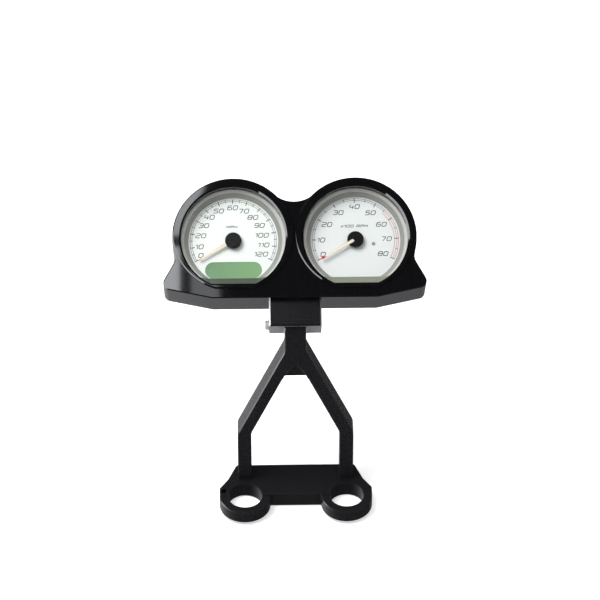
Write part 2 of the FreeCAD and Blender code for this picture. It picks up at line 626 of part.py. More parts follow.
def make_gauge(name, side):
    """One gauge from front to back, each piece resting on the next."""
    x = side * size("dial_offset")
    spot = [(x, 0)]
    bore = circles(spot, size("shaft_bore"))

    seal = new_body(f"{name}_lens_seal", POD)
    pad(seal, "ring", "-sizes.front_wall",
        circles(spot, size("lens_radius")) + circles(spot, size("opening_radius") + 0.3),
        "sizes.seal_thickness")
    lens = new_body(f"{name}_lens", POD)
    pad(lens, "disc", f"-({LENS_FRONT})", circles(spot, size("lens_radius")), "sizes.lens_thickness")

    can = new_body(f"{name}_can", POD)
    pad(can, "cup", f"-({LENS_REAR})", circles(spot, size("can_radius")),
        f"sizes.strap_height - ({LENS_REAR})")
    pocket(can, "hollow", f"-({LENS_REAR})", circles(spot, size("can_inner")),
           f"sizes.strap_height - sizes.can_floor - ({LENS_REAR})")
    half, low, high = size("header_half") + 0.3, size("header_low") - 0.3, size("header_high") + 0.3
    pocket(can, "connector_hole", "-sizes.strap_height", rectangle(x - half, low, x + half, high, 1),
           "sizes.can_floor", forwards=True)

    reflector = new_body(f"{name}_reflector", POD)
    depth = f"sizes.dial_height - ({LENS_REAR})"
    pad(reflector, "ring", f"-({LENS_REAR})", circles(spot, size("can_inner")), depth)
    wide = sketch(reflector, "wide", f"-({LENS_REAR})",
                  cut_circle(x, size("reflector_front"), size("reflector_flat_front")))
    narrow = sketch(reflector, "narrow", "sizes.reflector_step - sizes.dial_height",
                    cut_circle(x, size("reflector_rear"), size("reflector_flat_rear")))
    cone = reflector.newObject("PartDesign::SubtractiveLoft", f"{name}_reflector_cone")
    cone.Profile = wide
    cone.Sections = [narrow]
    doc.recompute()
    ledge = size("reflector_ledge")
    inner = cut_circle(x, size("reflector_rear") - ledge, size("reflector_flat_rear") - ledge)
    pocket(reflector, "step", "-sizes.front_wall", inner, "sizes.dial_height")

    dial = new_body(f"{name}_dial", POD)
    pad(dial, "plate", "-sizes.dial_height", circles(spot, size("dial_radius")),
        "sizes.dial_thickness")
    pocket(dial, "shaft_hole", "0", bore, "30")
    guide = new_body(f"{name}_light_guide", POD)
    pad(guide, "disc", f"-({DIAL_REAR})", circles(spot, size("can_inner") - 0.4),
        "sizes.guide_thickness")
    pocket(guide, "shaft_hole", "0", bore, "30")
    board = new_body(f"{name}_circuit_board", POD)
    pad(board, "disc", f"-({GUIDE_REAR})", circles(spot, size("board_radius")), "sizes.board_thickness")
    pocket(board, "shaft_hole", "0", bore, "30")

    motor = new_body(f"{name}_stepper_motor", POD)
    wide_half, long_half = size("motor_width") / 2, size("motor_length") / 2
    pad(motor, "case", f"-({BOARD_REAR})",
        rectangle(x - wide_half, -long_half, x + wide_half, long_half, 4), "sizes.motor_height")
    pocket(motor, "shaft_bore", f"-({BOARD_REAR})", circles(spot, size("shaft_radius") + 0.05), "5")

    half, low, high = size("header_half"), size("header_low"), size("header_high")
    wall = size("header_wall")
    plug = new_body(f"{name}_connector", POD)
    pad(plug, "header", f"-({BOARD_REAR})", rectangle(x - half, low, x + half, high, 0.8),
        f"sizes.strap_height + 4 - ({BOARD_REAR})")
    mouth = rectangle(x - half + wall, low + wall, x + half - wall, high - wall, 0.5)
    pocket(plug, "mouth", "-sizes.strap_height - 4", mouth, "5", forwards=True)

    strap = new_body(f"{name}_retainer", POD)
    ends = STRAP_SPOTS[name]
    pad(strap, "strap", "-sizes.strap_height", stadium(ends[0], ends[1], size("strap_half")),
        "sizes.strap_thickness")
    pocket(strap, "holes", "0", circles(ends, size("small_thread")), "60")


def make_strap_screws():
    seat = -size("strap_height") - size("strap_thickness")
    spots = [spot for spots in STRAP_SPOTS.values() for spot in spots]
    group("retainer_screws", [
        screw(f"retainer_screw_{i}", in_pod(x, y, seat, HEAD_DOWN), M4_LOW, 12)
        for i, (x, y) in enumerate(spots)])


def make_displays():
    """The speedometer's display panel and the tachometer's warning lamp lens."""
    dial, guide = doc.getObject("speedo_dial"), doc.getObject("speedo_light_guide")
    pocket(dial, "window", "0", lcd_window(0), "30")
    pocket(guide, "window", "0", lcd_window(size("lcd_margin")), "30")
    panel = new_body("lcd_display", POD)
    pad(panel, "cell", f"-({DIAL_REAR})", lcd_window(size("lcd_margin") - 0.1), "3")
    pad(panel, "face", "-sizes.dial_height - 0.35", lcd_window(-0.05), "1")

    spot = [(size("tell_tale_x"), size("tell_tale_y"))]
    face, flange = circles(spot, size("tell_tale_radius")), circles(spot, size("tell_tale_flange"))
    pocket(doc.getObject("tacho_dial"), "lamp_hole", "0", face, "30")
    pocket(doc.getObject("tacho_light_guide"), "lamp_hole", "0", flange, "30")
    lamp = new_body("tell_tale_lens", POD)
    pad(lamp, "face", "sizes.tell_tale_rise - sizes.dial_height", face, "sizes.dial_thickness + 1")
    pad(lamp, "flange", f"-({DIAL_REAR})", flange, "2")
    top = size("tell_tale_rise") - size("dial_height")
    bevel(lamp, "dome", "0.4", lambda edge: lies_at(edge, "z", top), kind="Fillet")


def make_pointer(name, side, over_hub):
    """The needle, its hub cap and the motor shaft; at rest the needle points at the scale's zero.
    The needle lies either in an open groove across the hub's top or in a slot through its side."""
    x = side * size("dial_offset")
    zero = math.radians(210)
    along = Vector(math.cos(zero), math.sin(zero), 0)
    across = Vector(-along.y, along.x, 0)
    start, sunk, socket = (1.6, 0.3, 1.2) if over_hub else (2.6, 1.5, 0.8)
    root, tip, reach = size("pointer_root"), size("pointer_tip"), size("pointer_length")
    corners = [along * start + across * root, along * start - across * root,
               along * reach - across * tip, along * reach + across * tip]
    blade = rounded([(x + corner.x, corner.y) for corner in corners], [1.2, 1.2, 0.6, 0.6])
    top = f"sizes.hub_top + {sunk}"
    needle = new_body(f"{name}_pointer", POD)
    pad(needle, "blade", f"-({top})", blade, "sizes.pointer_thickness")

    spot = [(x, 0)]
    hub = new_body(f"{name}_pointer_hub", POD)
    pad(hub, "cap", "-sizes.hub_top", circles(spot, size("hub_radius")), "sizes.hub_height")
    bevel(hub, "crown", "0.9", lambda edge: lies_at(edge, "z", -size("hub_top")), kind="Fillet")
    if over_hub:
        pocket(hub, "groove", "0", blade, f"{top} + sizes.pointer_thickness")
    else:
        pocket(hub, "slot", f"-({top})", blade, "sizes.pointer_thickness")
    shaft_hole = circles(spot, size("shaft_radius"))
    pocket(hub, "shaft_hole", "-sizes.hub_top - sizes.hub_height", shaft_hole, str(socket),
           forwards=True)

    rear = f"({BOARD_REAR} + sizes.shaft_into_motor)"
    rear_height = sum(size(part) for part in ("dial_height", "dial_thickness", "guide_thickness",
                                              "board_thickness", "shaft_into_motor"))
    shaft = solid("Cylinder", f"{name}_motor_shaft", in_pod(x, 0, -rear_height),
                  Radius="sizes.shaft_radius",
                  Height=f"{rear} - sizes.hub_top - sizes.hub_height + {socket}")
    parts[shaft.Label] = shaft


# ---------------------------------------------------------------- assembly
make_base()
make_cap("left_clamp_cap", -1)
make_cap("right_clamp_cap", 1)
make_base_screws()
make_mast()
make_pivot()
make_block()
make_shell()
make_cover()
for gauge, hand in SIDES.items():
    make_gauge(gauge, hand)
    make_pointer(gauge, hand, over_hub=gauge == "tacho")
make_displays()
make_strap_screws()

doc.recompute()
print(f"pod frame origin {tuple(round(v, 2) for v in POD.Base)}")
failed = [item.Label for item in doc.Objects if {"Invalid", "Error"} & set(item.State)]
failed += [label for label, item in parts.items() if item.Shape.isNull() or not item.Shape.isValid()]
if failed:
    raise RuntimeError(f"failed: {failed}")

os.makedirs("parts", exist_ok=True)
for label, item in parts.items():
    item.Shape.exportStep(f"parts/{label}.step")
    print(f"{label:24s} {len(item.Shape.Solids)} solid(s) {item.Shape.Volume:10.1f} mm3")
print(f"{len(parts)} sub-parts")
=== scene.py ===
# %% [markdown]
# # A motorcycle instrument cluster, finished in Blender
#
# The real object is a black anodised aluminium pod with two round gauges. It tilts on a forked mast
# that clamps to the two handlebar risers. Its metal, seals, lenses and needles arrive as a finished
# CAD frame, so this file only dresses that frame: it makes every material, prints the dial scales
# as thin raised ink, and sets the floor, the lights and the camera.
#
# Everything is in metres in the frame of the CAD model. +Z runs up along the risers and the rider
# sits at -Y. Small sizes are written in millimetres and turned to metres by MM.

# %% Load the frame
import json
import math

import bmesh
import bpy
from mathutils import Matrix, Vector


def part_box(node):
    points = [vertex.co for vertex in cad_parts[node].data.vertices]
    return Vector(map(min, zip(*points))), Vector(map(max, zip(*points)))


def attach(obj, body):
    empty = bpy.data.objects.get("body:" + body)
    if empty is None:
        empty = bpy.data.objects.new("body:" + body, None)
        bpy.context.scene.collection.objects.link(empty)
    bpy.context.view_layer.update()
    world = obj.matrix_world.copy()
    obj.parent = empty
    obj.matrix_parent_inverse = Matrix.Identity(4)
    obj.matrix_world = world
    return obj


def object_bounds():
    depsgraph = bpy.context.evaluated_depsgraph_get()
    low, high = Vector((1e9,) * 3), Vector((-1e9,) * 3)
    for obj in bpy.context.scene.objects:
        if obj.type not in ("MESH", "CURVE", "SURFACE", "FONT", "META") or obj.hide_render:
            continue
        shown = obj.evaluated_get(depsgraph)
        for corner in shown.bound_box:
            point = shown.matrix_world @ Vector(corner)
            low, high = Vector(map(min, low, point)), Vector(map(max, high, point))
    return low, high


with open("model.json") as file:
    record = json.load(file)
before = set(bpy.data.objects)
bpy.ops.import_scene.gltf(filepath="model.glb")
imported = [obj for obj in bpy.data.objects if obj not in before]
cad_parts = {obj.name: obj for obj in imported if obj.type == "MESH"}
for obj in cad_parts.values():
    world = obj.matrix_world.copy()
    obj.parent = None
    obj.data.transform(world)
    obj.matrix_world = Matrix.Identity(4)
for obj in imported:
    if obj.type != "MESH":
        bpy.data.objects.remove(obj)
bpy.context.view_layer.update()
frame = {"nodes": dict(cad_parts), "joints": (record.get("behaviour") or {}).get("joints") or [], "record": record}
MM = 0.001
nodes = frame["nodes"]

# %% [markdown]
# ## Where the gauges are
#
# Each pointer turns on a hinge, so the hinges say where the dials are and which way they face. A
# person would measure the pod with a square laid on its face; here the same three directions come
# from the joints: OUT leaves the face, RIGHT runs from one dial to the other, UP is across both.

# %% Directions of the pod's face
joints = {joint["name"]: joint for joint in frame["joints"]}
hubs = {gauge: Vector(joints[f"{gauge}_sweep"]["pos_m"]) for gauge in ("speedo", "tacho")}
OUT = Vector(joints["speedo_sweep"]["axis"]).normalized()
RIGHT = (hubs["tacho"] - hubs["speedo"]).normalized()
UP = OUT.cross(RIGHT)


def front(node):
    """How far a CAD node reaches along OUT, in metres from the frame's origin."""
    return max(vertex.co.dot(OUT) for vertex in nodes[node].data.vertices)


def on_face(gauge, level):
    """The point of a gauge's axis at a height along OUT."""
    return hubs[gauge] + OUT * (level - hubs[gauge].dot(OUT))


face_level = front("pod_shell")
centre = (on_face("speedo", face_level) + on_face("tacho", face_level)) / 2
print("dials", round((hubs["tacho"] - hubs["speedo"]).length / MM, 1), "mm apart")
print("face tilted", round(math.degrees(math.asin(OUT.z)), 1), "degrees up")

# %% [markdown]
# ## Helpers for every material
#
# Colours are picked as sRGB hex values, the way a colour chart gives them, and Blender's shaders
# want linear light, so one function converts. A material is a small tree of nodes. The trees could
# be wired by hand in the shader editor; in a script one function that adds a node with its settings
# and links keeps each material short enough to read as a recipe. Every finish starts from Blender's
# Principled shader and only adds what the real surface shows.

# %% Colour and node helpers
def linear(code):
    """An sRGB hex code as linear red, green, blue and alpha."""
    channels = [int(code[i:i + 2], 16) / 255 for i in (1, 3, 5)]
    return [c / 12.92 if c <= 0.04045 else ((c + 0.055) / 1.055) ** 2.4 for c in channels] + [1]


def add(tree, kind, inputs=None, **settings):
    """Adds one shader node; an input is a value or another node's output."""
    made = tree.nodes.new("ShaderNode" + kind)
    for name, value in settings.items():
        setattr(made, name, value)
    for name, value in (inputs or {}).items():
        if isinstance(value, bpy.types.NodeSocket):
            tree.links.new(value, made.inputs[name])
        else:
            made.inputs[name].default_value = value
    return made


def start(name, **values):
    """A new material with plain values on its Principled shader; returns its parts."""
    material = bpy.data.materials.new(name)
    material.use_nodes = True
    tree = material.node_tree
    shader = tree.nodes["Principled BSDF"]
    for socket, value in values.items():
        shader.inputs[socket].default_value = value
    place = add(tree, "TexCoord").outputs["Object"]
    return material, tree, shader, place


def per_mm(size):
    """The texture scale whose pattern repeats about every size millimetres."""
    return 1 / (size * MM)


# a noise seldom leaves this range, so it is what gets spread from low to high
NOISE_LOW, NOISE_HIGH = 0.3, 0.7


def speckle(tree, place, size, low, high, detail=2.0):
    """A noise of grains of that many millimetres, spread from low to high."""
    noise = add(tree, "TexNoise", {"Vector": place, "Scale": per_mm(size), "Detail": detail})
    spread = add(tree, "MapRange", {"Value": noise.outputs["Fac"], "From Min": NOISE_LOW,
                                    "From Max": NOISE_HIGH, "To Min": low, "To Max": high})
    return spread.outputs["Result"]


def colour_between(tree, shader, factor, first, second):
    """Base colour that runs from one hex colour to the other."""
    mix = add(tree, "Mix", {"Factor": factor, "A": linear(first), "B": linear(second)},
              data_type="RGBA")
    tree.links.new(mix.outputs["Result"], shader.inputs["Base Color"])


def relief(tree, shader, height, depth):
    """Relief of that many millimetres from a grey pattern."""
    raised = add(tree, "Bump", {"Height": height, "Distance": depth * MM, "Strength": 1.0})
    tree.links.new(raised.outputs["Normal"], shader.inputs["Normal"])


finishes = {}
print("helpers ready")

# %% [markdown]
# ## Black anodised aluminium
#
# The pod, block, mast and clamps are machined aluminium. Anodising grows a hard clear oxide film,
# which is then dyed black. A metal shader tinted black would mirror almost nothing, so this is a
# dark base under a film with an IOR near 1.7. The pod's face is polished before anodising and
# mirrors like piano lacquer. The mast and clamps keep faint cutter lines, about 0.6 mm apart, and a
# satin sheen. Corners are greyed a little, partly as dye lost with handling and partly as a painted
# highlight along the edges: the Bevel node gives a rounded normal, and where that differs from the
# true one there is an edge to grey.

# %% Polished and satin black anodising
LINE_SPACING, DYE_GRAIN, GREYED_EDGE = 0.6, 0.5, 0.5
# the noise is drawn out 50 times along the cutter's path, which turns its grains into lines
LINE_STRETCH = 0.02
# how well the rounded normal agrees with the true one where greying starts and where it is full
ON_THE_FLAT, ON_AN_EDGE = 0.995, 0.9


def anodising(name, dark, light, roughness, line_depth, edge_wear_and_highlight):
    material, tree, shader, place = start(name, IOR=1.7)
    sheen = speckle(tree, place, DYE_GRAIN, roughness * 0.8, roughness * 1.25)
    tree.links.new(sheen, shader.inputs["Roughness"])
    stretched = add(tree, "Mapping", {"Vector": place, "Scale": (1.0, LINE_STRETCH, LINE_STRETCH)})
    lines = speckle(tree, stretched.outputs["Vector"], LINE_SPACING, 0.0, 1.0)
    tone = add(tree, "Mix", {"Factor": lines, "A": linear(dark), "B": linear(light)},
               data_type="RGBA")
    rounded_off = add(tree, "Bevel", {"Radius": GREYED_EDGE * MM}, samples=4).outputs["Normal"]
    true = add(tree, "NewGeometry").outputs["Normal"]
    same = add(tree, "VectorMath", {0: rounded_off, 1: true}, operation="DOT_PRODUCT")
    edge = add(tree, "MapRange", {"Value": same.outputs["Value"], "From Min": ON_THE_FLAT,
                                  "From Max": ON_AN_EDGE, "To Min": 0.0, "To Max": edge_wear_and_highlight})
    # edges greyed towards #4a4a50: partly wear from handling, partly a painted highlight
    worn_and_highlit = add(tree, "Mix", {"Factor": edge.outputs["Result"], "A": tone.outputs["Result"],
                             "B": linear("#4a4a50")}, data_type="RGBA")
    tree.links.new(worn_and_highlit.outputs["Result"], shader.inputs["Base Color"])
    relief(tree, shader, lines, line_depth)
    return material


finishes["black_anodised"] = anodising("satin_black_anodising", "#161618", "#1b1b1e",
                                       roughness=0.26, line_depth=0.0012, edge_wear_and_highlight=0.5)
polished = anodising("polished_black_anodising", "#050506", "#0b0b0d",
                     roughness=0.05, line_depth=0.0002, edge_wear_and_highlight=0.1)
print("anodising: satin for the mast and clamps, polished for the pod")

# %% [markdown]
# ## Steel, bronze and zinc
#
# The screws are alloy steel in black oxide: a thin matt conversion coat over metal, so it stays
# metallic and dark. The bush is sintered bronze, pressed from powder, which leaves pores. The
# straps are zinc-plated sheet with a spangle of small crystals. A real spangle is a few millimetres
# across, and straps this narrow show it only when it is drawn finer. All keep the default IOR of a
# metal, and their colour comes from the base colour. The tilt bolt is zinc under a chromate film,
# which scatters part of the light and keeps it bright from every side, so it is less metallic.

# %% Metals
def metal(name, first, second, roughness, grain, depth, metallic=1.0):
    material, tree, shader, place = start(name, Metallic=metallic)
    pattern = speckle(tree, place, grain, 0.0, 1.0, detail=4.0)
    colour_between(tree, shader, pattern, first, second)
    uneven = speckle(tree, place, grain * 3, roughness * 0.8, roughness * 1.2)
    tree.links.new(uneven, shader.inputs["Roughness"])
    relief(tree, shader, pattern, depth)
    return material


finishes["black_steel"] = metal("black_oxide_steel", "#1c1c1e", "#2e2e31",
                                roughness=0.38, grain=0.4, depth=0.003)
finishes["bronze"] = metal("sintered_bronze", "#7d5f34", "#b08b52",
                           roughness=0.45, grain=0.25, depth=0.01)
finishes["zinc_steel"] = metal("zinc_plated_steel", "#a4a6a5", "#c9cac6",
                               roughness=0.32, grain=1.2, depth=0.004)
bright_zinc = metal("chromated_zinc_plate", "#c4c6c6", "#dfe0de",
                    roughness=0.35, grain=0.8, depth=0.003, metallic=0.45)
print("metals: black oxide steel, sintered bronze, zinc plate, chromated zinc")

# %% [markdown]
# ## The two-colour block
#
# The block under the pod is clear anodised: silver at its sides and underneath, where the film is
# left undyed, and black on the front and the lower front bevel. Two materials on one block would
# need its faces sorted by hand. Instead one material measures where a point is: how far it lies
# behind the front, and how far from the middle line. A maker would mask the same two sizes.

# %% Two-colour block
FRONT_SKIN, SIDE_SKIN = 1.35, 1.25
UNDYED_METALLIC = 0.75


def half_dyed(node):
    """Black anodising on the front skin of a node and clear anodising everywhere else."""
    material = anodising("two_colour_anodising", "#0a0a0c", "#141417",
                         roughness=0.3, line_depth=0.003, edge_wear_and_highlight=0.3)
    tree = material.node_tree
    shader = tree.nodes["Principled BSDF"]
    middle = centre.dot(RIGHT)
    half_width = max(vertex.co.dot(RIGHT) for vertex in nodes[node].data.vertices) - middle
    place = add(tree, "TexCoord").outputs["Object"]
    forward = add(tree, "VectorMath", {0: place, 1: OUT}, operation="DOT_PRODUCT")
    in_front = add(tree, "Math", {0: forward.outputs["Value"], 1: front(node) - FRONT_SKIN * MM},
                   operation="GREATER_THAN")
    across = add(tree, "VectorMath", {0: place, 1: RIGHT}, operation="DOT_PRODUCT")
    offset = add(tree, "Math", {0: across.outputs["Value"], 1: middle}, operation="SUBTRACT")
    reach = add(tree, "Math", {0: offset.outputs["Value"]}, operation="ABSOLUTE")
    inside = add(tree, "Math", {0: reach.outputs["Value"], 1: half_width - SIDE_SKIN * MM},
                 operation="LESS_THAN")
    dyed = add(tree, "Math", {0: in_front.outputs["Value"], 1: inside.outputs["Value"]},
               operation="MULTIPLY").outputs["Value"]
    black = shader.inputs["Base Color"].links[0].from_socket
    both = add(tree, "Mix", {"Factor": dyed, "A": linear("#b9babd"), "B": black}, data_type="RGBA")
    tree.links.new(both.outputs["Result"], shader.inputs["Base Color"])
    bare = add(tree, "Math", {0: UNDYED_METALLIC, 1: dyed}, operation="SUBTRACT", use_clamp=True)
    tree.links.new(bare.outputs["Value"], shader.inputs["Metallic"])
    print(node, "is", round(half_width * 2 / MM, 1), "mm wide")
    return material


two_colour = half_dyed("pivot_block")

# %% [markdown]
# ## Mouldings: rubber, nylon, ABS and acetal
#
# Moulded plastics copy the texture of their mould, so each has a fine relief and a slightly uneven
# gloss. One flat roughness would look like a computer's idea of plastic. Rubber is the most matt,
# nylon washers are milky, the gauge cans are black ABS with a spark texture, the hub caps are
# acetal, glossier than ABS, and the light guides behind the dials are frosted acrylic. Grain sizes
# are those of common mould textures, 0.3 to 0.6 mm.

# %% Moulded plastics and rubber
def moulding(name, first, second, roughness, grain, depth, ior=1.5):
    material, tree, shader, place = start(name, IOR=ior)
    pattern = speckle(tree, place, grain, 0.0, 1.0, detail=3.0)
    colour_between(tree, shader, pattern, first, second)
    uneven = speckle(tree, place, grain * 2, roughness * 0.85, roughness * 1.15)
    tree.links.new(uneven, shader.inputs["Roughness"])
    relief(tree, shader, pattern, depth)
    return material


finishes["black_rubber"] = moulding("moulded_black_rubber", "#0b0b0b", "#161616",
                                    roughness=0.72, grain=0.4, depth=0.02)
finishes["white_nylon"] = moulding("moulded_nylon", "#dedad0", "#ebe8e0",
                                   roughness=0.45, grain=0.5, depth=0.004, ior=1.53)
finishes["black_plastic"] = moulding("spark_textured_abs", "#101012", "#19191b",
                                     roughness=0.5, grain=0.3, depth=0.015)
finishes["hub_black"] = moulding("gloss_black_acetal", "#131315", "#1e1e22",
                                 roughness=0.3, grain=0.35, depth=0.004, ior=1.48)
finishes["clear_acrylic"] = moulding("frosted_acrylic", "#dfe7ea", "#eef3f4",
                                     roughness=0.25, grain=0.6, depth=0.003, ior=1.49)
print("mouldings: rubber, nylon, ABS, acetal, acrylic")

# %% [markdown]
# ## The reflector between lens and dial
#
# The grey cone that frames each dial is ABS sprayed with silver paint, whose flakes lie in a clear
# binder, so it is a satin grey and hardly metallic. Its tones could be modelled as separate rings.
# One material does the same by measuring height along OUT: a bright cone under the lens and a
# darker band next to the dial, which is painted shade of the deep recess. Below the flat foot of
# the dial the cone is darkened with painted shade: dark green on the speedometer, next to the
# display, and olive on the tachometer.

# %% Silver-painted reflector
ZONE_LEVEL, ZONE_BLUR = 3.9, 0.2
FOOT_DROP, FOOT_BLUR = 32.7, 0.3
FLAKE_SIZE, FLAKE_SHARE = 0.3, 0.12
material, tree, shader, place = start("silver_painted_abs", Metallic=0.1, Roughness=0.42)

height = add(tree, "VectorMath", {0: place, 1: OUT}, operation="DOT_PRODUCT").outputs["Value"]
dial_level = front("tacho_dial")
cone = add(tree, "MapRange", {"Value": height,
                              "From Min": dial_level + (ZONE_LEVEL - ZONE_BLUR) * MM,
                              "From Max": dial_level + (ZONE_LEVEL + ZONE_BLUR) * MM})
flakes = speckle(tree, place, FLAKE_SIZE, 0.0, FLAKE_SHARE)
# the band next to the dial is painted darker, as painted shade of the deep recess
cone_and_painted_shade_band = add(tree, "Mix", {"Factor": cone.outputs["Result"], "A": linear("#959492"),
                          "B": linear("#cccac8")}, data_type="RGBA")

rise = add(tree, "VectorMath", {0: place, 1: UP}, operation="DOT_PRODUCT").outputs["Value"]
foot_level = hubs["speedo"].dot(UP) - FOOT_DROP * MM
foot = add(tree, "MapRange", {"Value": rise, "From Min": foot_level + FOOT_BLUR * MM,
                              "From Max": foot_level - FOOT_BLUR * MM})
# painted shade on the flat foot: dark green on the speedometer, olive on the tachometer
across = add(tree, "VectorMath", {0: place, 1: RIGHT}, operation="DOT_PRODUCT").outputs["Value"]
on_tacho = add(tree, "Math", {0: across, 1: centre.dot(RIGHT)}, operation="GREATER_THAN")
shade = add(tree, "Mix", {"Factor": on_tacho.outputs["Value"], "A": linear("#3b4a3b"),
                          "B": linear("#808473")}, data_type="RGBA")
with_painted_foot_shade = add(tree, "Mix", {"Factor": foot.outputs["Result"], "A": cone_and_painted_shade_band.outputs["Result"],
                           "B": shade.outputs["Result"]}, data_type="RGBA")

glint = add(tree, "Mix", {"Factor": flakes, "A": with_painted_foot_shade.outputs["Result"],
                          "B": linear("#e8e8e0")}, data_type="RGBA")
tree.links.new(glint.outputs["Result"], shader.inputs["Base Color"])
finishes["grey_plastic"] = material
print("reflector: bright cone from", ZONE_LEVEL, "mm above the dial")

# %% [markdown]
# ## Dial plate, display and lamp
#
# The dial is polycarbonate sheet screen-printed white; the ink's tooth is a grain of about 0.3 mm,
# and the tachometer's white is a shade greyer and cooler. The display is a reflective
# liquid-crystal cell: unlit it is a flat grey-green, with painted shade that darkens it towards the
# upper left, so it is a little lighter towards the lower right. Its dots are about 0.45 mm apart.
# Squarish Voronoi cells stand in for them, faintly, which is simpler than modelling segments that
# never light. The warning lamp is a smoked lens over an unlit lamp, so it is a dull olive.

# %% Dial sheets and lamp lens
finishes["dial_white"] = moulding("white_screen_print", "#edeeef", "#f7f8f9",
                                  roughness=0.55, grain=0.3, depth=0.002)
tacho_white = moulding("cool_white_screen_print", "#e1e2e5", "#ebecef",
                       roughness=0.55, grain=0.3, depth=0.002)
finishes["lamp_lens"] = moulding("smoked_lamp_lens", "#8d9084", "#9ea196",
                                 roughness=0.25, grain=0.4, depth=0.002, ior=1.57)
print("dial sheets and lamp lens ready")

# %% Liquid-crystal cell
DOT_PITCH, DOT_STRENGTH = 0.45, 0.08
material, tree, shader, place = start("liquid_crystal_cell", Roughness=0.3, IOR=1.52)
low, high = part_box("lcd_display")
slope = (RIGHT - UP * 0.8).normalized()
middle, reach = ((low + high) / 2).dot(slope), (high.x - low.x) / 2
across = add(tree, "VectorMath", {0: place, 1: slope}, operation="DOT_PRODUCT").outputs["Value"]
# painted shade: the cell is darker towards the upper left and lighter towards the lower right
painted_shade_drift = add(tree, "MapRange", {"Value": across, "From Min": middle - reach,
                               "From Max": middle + reach})
green = add(tree, "Mix", {"Factor": painted_shade_drift.outputs["Result"], "A": linear("#6f9272"),
                          "B": linear("#8bb480")}, data_type="RGBA")
cells = add(tree, "TexVoronoi", {"Vector": place, "Scale": per_mm(DOT_PITCH)},
            distance="CHEBYCHEV")
dots = add(tree, "MapRange", {"Value": cells.outputs["Distance"], "To Min": 0.0,
                              "To Max": DOT_STRENGTH})
dotted = add(tree, "Mix", {"Factor": dots.outputs["Result"], "A": green.outputs["Result"],
                           "B": linear("#4f6e52")}, data_type="RGBA")
tree.links.new(dotted.outputs["Result"], shader.inputs["Base Color"])
finishes["lcd_panel"] = material
print("display is", round((high.x - low.x) / MM, 1), "mm wide with its flange")

# %% [markdown]
# ## Circuit boards and lens glass
#
# The boards are glass-epoxy laminate under green solder mask, with tracks that show as slightly
# lighter lines; the edges of Voronoi cells stand in for them. The lens is clear glass. Refraction
# would only cost light here, because the pane is flat and parallel, so the glass is a mix of clear
# transparency and a mirror, weighted by Fresnel: nearly invisible seen square on, brighter at a
# glancing angle. A coating cuts the glare of a real gauge lens, so the Fresnel IOR is 1.16, where
# bare glass has 1.5.

# %% Laminate
TRACK_SPACING = 3.0
# a track's half width and where its blurred edge ends, as shares of the spacing
TRACK_EDGE, TRACK_END = 0.05, 0.08
material, tree, shader, place = start("green_solder_mask", IOR=1.55)
tracks = add(tree, "TexVoronoi", {"Vector": place, "Scale": per_mm(TRACK_SPACING)},
             feature="DISTANCE_TO_EDGE")
between = add(tree, "MapRange", {"Value": tracks.outputs["Distance"], "From Min": TRACK_EDGE,
                                 "From Max": TRACK_END})
colour_between(tree, shader, between.outputs["Result"], "#2f8a4c", "#14602f")
sheen = speckle(tree, place, size=0.8, low=0.25, high=0.4)
tree.links.new(sheen, shader.inputs["Roughness"])
finishes["circuit_laminate"] = material
print("laminate tracks", TRACK_SPACING, "mm apart")

# %% Lens glass
COATED_IOR, SMEAR_SIZE = 1.16, 9.0
material, tree, shader, place = start("clear_lens_glass")
smears = speckle(tree, place, SMEAR_SIZE, low=0.01, high=0.05)
clear = add(tree, "BsdfTransparent", {"Color": linear("#fbfcfb")})
mirror = add(tree, "BsdfGlossy", {"Color": linear("#ffffff"), "Roughness": smears})
share = add(tree, "Fresnel", {"IOR": COATED_IOR})
pane = add(tree, "MixShader", {"Fac": share.outputs["Fac"], 1: clear.outputs["BSDF"],
                               2: mirror.outputs["BSDF"]})
tree.links.new(pane.outputs["Shader"], tree.nodes["Material Output"].inputs["Surface"])
tree.nodes.remove(shader)
finishes["clear_glass"] = material
print("lens glass ready")

# %% [markdown]
# ## Painted pointers
#
# Each needle is a thin moulding sprayed ivory, tan along its edges, with a tip dipped in colour:
# faded pink on the speedometer and red on the tachometer. Separate pieces for the colours would
# leave seams, so the paint follows the needle itself. How far a point lies from the hub says where
# the tip starts, and how far it lies from the needle's middle line says where the edge colour
# shows. Both are measured in the needle's own coordinates, so the paint turns with it.

# %% Pointer paint
NEEDLE_REST = math.radians(210)
EDGE_STARTS, EDGE_ENDS = 0.6, 1.2
TIP_BEFORE, TIP_AFTER = 1.5, 1.0
along = RIGHT * math.cos(NEEDLE_REST) + UP * math.sin(NEEDLE_REST)
sideways = UP * math.cos(NEEDLE_REST) - RIGHT * math.sin(NEEDLE_REST)


